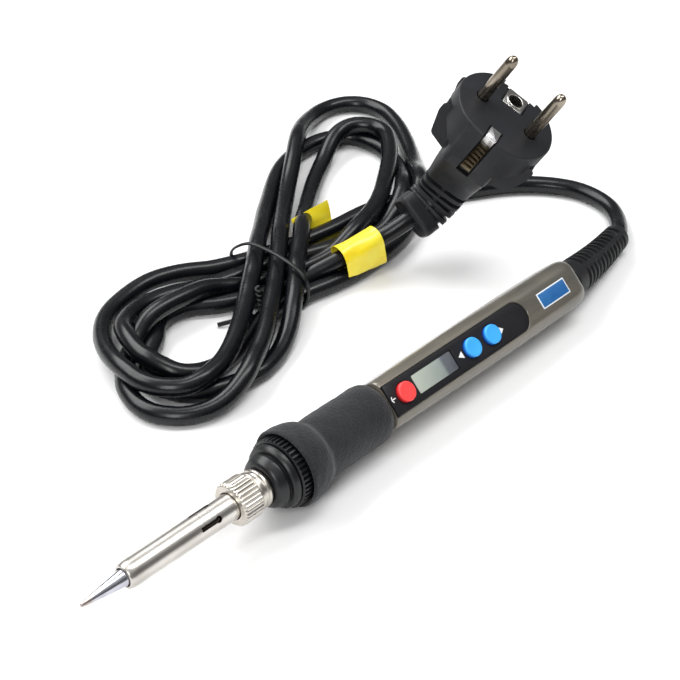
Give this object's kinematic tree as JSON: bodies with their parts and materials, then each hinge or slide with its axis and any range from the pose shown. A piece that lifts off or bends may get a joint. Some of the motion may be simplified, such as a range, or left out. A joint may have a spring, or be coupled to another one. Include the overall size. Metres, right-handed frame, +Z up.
{
  "type": "soldering iron",
  "caption": "Pencil soldering iron with a conical tip, steel barrel, knurled nut, foam grip, display and keys in the handle, and a folded mains lead with a round two-pin plug.",
  "frame": {"origin": "on the bench, under the middle of the iron's own box (tip to the end of the strain relief), with the lead and what is on it left out", "axes": "+X along the iron, from its tip towards its strain relief; +Z up; the folded lead and the plug lie on the +Y side"},
  "size_m": [0.261, 0.1567, 0.08],
  "materials": {
    "tip_metal": "plated iron, tinned and slightly heat-tinted at the point",
    "tube_steel": "polished stainless tube",
    "nut_nickel": "nickel plate, knurled",
    "ceramic": "unglazed white ceramic",
    "black_plastic": "moulded, satin",
    "grip_foam": "closed-cell foam, matt, finely pitted",
    "housing_plastic": "smoked grey-brown translucent plastic",
    "panel_plastic": "satin black insert",
    "lcd_glass": "clear window over a grey-green display",
    "lcd_cell": "grey-green display",
    "board": "green solder mask",
    "button_red": "satin",
    "button_blue": "satin",
    "component": "moulded epoxy",
    "capacitor": "lacquered",
    "wire_white": "glass sleeving",
    "wire_earth": "insulated wire",
    "wire_brown": "insulated wire",
    "wire_blue": "insulated wire",
    "label_blue": "printed film",
    "cord_pvc": "flexible mains lead sheath, semi-gloss",
    "boot_rubber": "soft moulded",
    "plug_pvc": "moulded plug, satin",
    "pin_nickel": "nickel-plated brass",
    "flag_yellow": "coated paper",
    "tie_plastic": "flat plastic-covered wire"
  },
  "bodies": {
    "handle": {"threaded_bush": "nut_nickel", "heating_element": "ceramic", "heater_holder": "ceramic", "nose_cap": "black_plastic", "ribbed_ring": "black_plastic", "foam_grip": "grip_foam", "housing_shell": "housing_plastic", "control_panel": "panel_plastic", "lcd_window": "lcd_glass", "lcd_module": "lcd_cell", "circuit_board": "board", "power_switch": "component", "down_switch": "component", "up_switch": "component", "power_triac": "component", "filter_capacitor": "capacitor", "controller_chip": "component", "heater_lead_1": "wire_white", "heater_lead_2": "wire_white", "earth_lead": "wire_earth", "mains_lead_1": "wire_brown", "mains_lead_2": "wire_blue", "cord_clamp": "black_plastic", "blue_label": "label_blue", "strain_relief": "boot_rubber", "plug_body": "plug_pvc", "plug_pin_1": "pin_nickel", "plug_pin_2": "pin_nickel", "earth_clip": "pin_nickel", "earth_socket": "pin_nickel", "cord_lead": "cord_pvc", "cord_hank": "cord_pvc", "cord_tail": "cord_pvc", "twist_tie": "tie_plastic", "front_flag": "flag_yellow", "rear_flag": "flag_yellow"},
    "barrel": {"barrel_tube": "tube_steel"},
    "nut": {"knurled_nut": "nut_nickel"},
    "tip": {"soldering_tip": "tip_metal"},
    "power_key": {"power_button": "button_red"},
    "down_key": {"down_button": "button_blue"},
    "up_key": {"up_button": "button_blue"}
  },
  "joints": [
    {"name": "barrel_slide", "type": "slide", "parent": "handle", "child": "barrel", "axis": [-0.9998, 0, 0.0215], "range_m": [0, 0.06]},
    {"name": "nut_turn", "type": "hinge", "parent": "barrel", "child": "nut", "pos_m": [-0.06291, 0, 0.01249], "axis": [-0.9998, 0, 0.0215], "continuous": true},
    {"name": "tip_turn", "type": "hinge", "parent": "barrel", "child": "tip", "pos_m": [-0.06291, 0, 0.01249], "axis": [-0.9998, 0, 0.0215], "continuous": true},
    {"name": "power_press", "type": "slide", "parent": "handle", "child": "power_key", "axis": [-0.0155, 0.6947, -0.7192], "range_m": [0, 0.0006], "stiffness_N_per_m": 1500, "springref_m": -0.0004},
    {"name": "down_press", "type": "slide", "parent": "handle", "child": "down_key", "axis": [-0.0155, 0.6947, -0.7192], "range_m": [0, 0.0006], "stiffness_N_per_m": 1500, "springref_m": -0.0004},
    {"name": "up_press", "type": "slide", "parent": "handle", "child": "up_key", "axis": [-0.0155, 0.6947, -0.7192], "range_m": [0, 0.0006], "stiffness_N_per_m": 1500, "springref_m": -0.0004}
  ]
}
